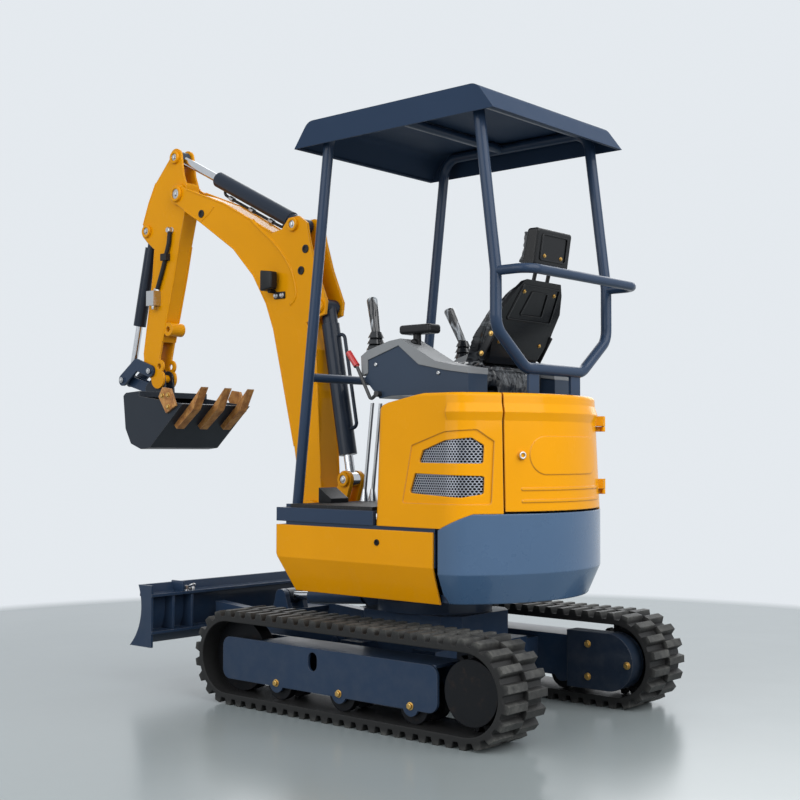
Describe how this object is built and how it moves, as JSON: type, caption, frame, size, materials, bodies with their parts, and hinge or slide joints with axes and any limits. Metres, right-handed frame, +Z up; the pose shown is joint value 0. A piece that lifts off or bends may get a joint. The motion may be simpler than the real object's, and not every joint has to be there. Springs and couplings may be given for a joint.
{
  "type": "mini excavator",
  "caption": "Small yellow excavator on rubber tracks, with a canopy, a blade, a swinging boom, an arm and a toothed bucket.",
  "frame": {"origin": "on the slew axis at ground level, between the tracks", "axes": "+X forward towards the blade and bucket, +Y to the operator's left, +Z up"},
  "size_m": [2.8807, 1.2, 2.532],
  "materials": {
    "yellow_paint": "warm yellow enamel on boom, arm and panels",
    "dark_paint": "dark blue-grey enamel on frames, canopy and blade",
    "grey_paint": "lighter grey-blue enamel on the cast counterweight",
    "track_rubber": "black rubber with dusty lugs",
    "cast_steel": "dark cast steel of rollers, idlers and sprockets",
    "rod_chrome": "hard chrome of cylinder rods and levers",
    "rusted_steel": "worn and rusted steel of teeth and cutters",
    "black_plastic": "moulded black plastic",
    "seat_vinyl": "black seat vinyl",
    "red_plastic": "red lever grip",
    "mat_rubber": "ribbed black rubber floor mat",
    "grey_plastic": "pale grey moulded plastic of the console covers",
    "mesh_steel": "dark perforated sheet behind the louvres",
    "hose_rubber": "black hydraulic hose",
    "lamp_shell": "black lamp housing"
  },
  "bodies": {
    "undercarriage": {"carbody": "dark_paint", "track_frame_left": "dark_paint", "track_frame_right": "dark_paint", "track_left": "track_rubber", "track_right": "track_rubber", "idlers": "cast_steel", "sprockets": "cast_steel", "travel_motors": "cast_steel", "track_rollers": "cast_steel"},
    "blade": {"blade": "dark_paint", "blade_arms": "dark_paint"},
    "blade_barrel": {"blade_barrel": "dark_paint"},
    "blade_rod": {"blade_rod": "rod_chrome"},
    "house": {"main_frame": "dark_paint", "deck": "dark_paint", "floor_mat": "mat_rubber", "skirt_left": "yellow_paint", "skirt_right": "yellow_paint", "counterweight": "grey_paint", "hood_left": "yellow_paint", "hood_right": "yellow_paint", "hood_top": "dark_paint", "hood_front": "dark_paint", "engine": "cast_steel", "canopy_frame": "dark_paint", "canopy_roof": "dark_paint", "seat_cushion": "seat_vinyl", "seat_back": "seat_vinyl", "seat_shell": "black_plastic", "head_rest": "seat_vinyl", "console_left": "dark_paint", "console_right": "dark_paint", "console_cover_left": "grey_plastic", "console_cover_right": "grey_plastic", "wrist_rests": "black_plastic", "grille_left": "mesh_steel", "joysticks": "black_plastic", "safety_lever": "red_plastic", "travel_levers": "rod_chrome", "pedals": "black_plastic"},
    "rear_door": {"rear_door": "yellow_paint"},
    "swing_post": {"swing_post": "yellow_paint"},
    "boom": {"boom": "yellow_paint", "work_lamp": "lamp_shell"},
    "boom_barrel": {"boom_barrel": "dark_paint"},
    "boom_rod": {"boom_rod": "rod_chrome"},
    "arm": {"arm": "yellow_paint", "arm_hose": "hose_rubber", "arm_valve": "cast_steel"},
    "arm_barrel": {"arm_barrel": "dark_paint"},
    "arm_rod": {"arm_rod": "rod_chrome"},
    "bucket_barrel": {"bucket_barrel": "dark_paint"},
    "bucket_rod": {"bucket_rod": "rod_chrome"},
    "rocker": {"rocker": "dark_paint"},
    "link": {"link": "dark_paint"},
    "bucket": {"bucket": "dark_paint", "bucket_teeth": "rusted_steel", "side_cutters": "rusted_steel"}
  },
  "joints": [
    {"name": "slew", "type": "hinge", "parent": "undercarriage", "child": "house", "pos_m": [0, 0, 0.45], "axis": [0, 0, 1], "continuous": true},
    {"name": "boom_swing", "type": "hinge", "parent": "house", "child": "swing_post", "pos_m": [0.5, 0, 0.62], "axis": [0, 0, 1], "range_deg": [-50, 70]},
    {"name": "boom_lift", "type": "hinge", "parent": "swing_post", "child": "boom", "pos_m": [0.65, 0, 0.75], "axis": [0, 1, 0], "range_deg": [-5, 100]},
    {"name": "boom_barrel_tilt", "type": "hinge", "parent": "boom", "child": "boom_barrel", "pos_m": [0.619, 0, 1.67], "axis": [0, -1, 0], "range_deg": [-0.65, 3.5]},
    {"name": "boom_rod_stroke", "type": "slide", "parent": "boom_barrel", "child": "boom_rod", "axis": [-0.1875, 0, -0.9823], "range_m": [-0.0202, 0.365]},
    {"name": "arm_fold", "type": "hinge", "parent": "boom", "child": "arm", "pos_m": [1.608, 0, 2.296], "axis": [0, -1, 0], "range_deg": [-8, 90]},
    {"name": "arm_barrel_tilt", "type": "hinge", "parent": "boom", "child": "arm_barrel", "pos_m": [0.784, 0, 2.052], "axis": [0, -1, 0], "range_deg": [-0.95, 0.54]},
    {"name": "arm_rod_stroke", "type": "slide", "parent": "arm_barrel", "child": "arm_rod", "axis": [0.8921, 0, 0.4518], "range_m": [-0.28, 0.0267]},
    {"name": "bucket_curl", "type": "hinge", "parent": "arm", "child": "bucket", "pos_m": [1.768, 0, 1.388], "axis": [0, -1, 0], "range_deg": [-35, 72]},
    {"name": "rocker_turn", "type": "hinge", "parent": "arm", "child": "rocker", "pos_m": [1.815, 0, 1.428], "axis": [0, -1, 0], "range_deg": [-26.06, 53.08]},
    {"name": "link_turn", "type": "hinge", "parent": "rocker", "child": "link", "pos_m": [2.035, 0, 1.39], "axis": [0, -1, 0], "range_deg": [-24.27, 12.05]},
    {"name": "bucket_barrel_tilt", "type": "hinge", "parent": "arm", "child": "bucket_barrel", "pos_m": [1.86, 0, 2.14], "axis": [0, -1, 0], "range_deg": [-1.83, 3.23]},
    {"name": "bucket_rod_stroke", "type": "slide", "parent": "bucket_barrel", "child": "bucket_rod", "axis": [0.2272, 0, -0.9738], "range_m": [-0.1928, 0.0947]},
    {"name": "blade_lift", "type": "hinge", "parent": "undercarriage", "child": "blade", "pos_m": [0.33, 0, 0.245], "axis": [0, 1, 0], "range_deg": [-6.5, 26]},
    {"name": "blade_barrel_tilt", "type": "hinge", "parent": "undercarriage", "child": "blade_barrel", "pos_m": [0.305, 0, 0.412], "axis": [0, 1, 0], "range_deg": [-6.32, 23.77]},
    {"name": "blade_rod_stroke", "type": "slide", "parent": "blade_barrel", "child": "blade_rod", "axis": [0.9973, 0, -0.0732], "range_m": [-0.0196, 0.0726]},
    {"name": "rear_door", "type": "hinge", "parent": "house", "child": "rear_door", "pos_m": [-0.60239, -0.32715, 1.02], "axis": [0, 0, 1], "range_deg": [0, 95]}
  ],
  "couplings": [
    {"joint": "boom_barrel_tilt", "follows": "boom_lift", "ratio": 0.03},
    {"joint": "boom_rod_stroke", "follows": "boom_lift", "m_per_rad": 0.208},
    {"joint": "arm_barrel_tilt", "follows": "arm_fold", "ratio": -0.005},
    {"joint": "arm_rod_stroke", "follows": "arm_fold", "m_per_rad": -0.177},
    {"joint": "bucket_barrel_tilt", "follows": "bucket_curl", "ratio": 0.0379},
    {"joint": "bucket_rod_stroke", "follows": "bucket_curl", "m_per_rad": -0.1518},
    {"joint": "rocker_turn", "follows": "bucket_curl", "ratio": 0.7303},
    {"joint": "link_turn", "follows": "bucket_curl", "ratio": -0.3301},
    {"joint": "blade_barrel_tilt", "follows": "blade_lift", "ratio": 0.895},
    {"joint": "blade_rod_stroke", "follows": "blade_lift", "m_per_rad": 0.1555}
  ]
}
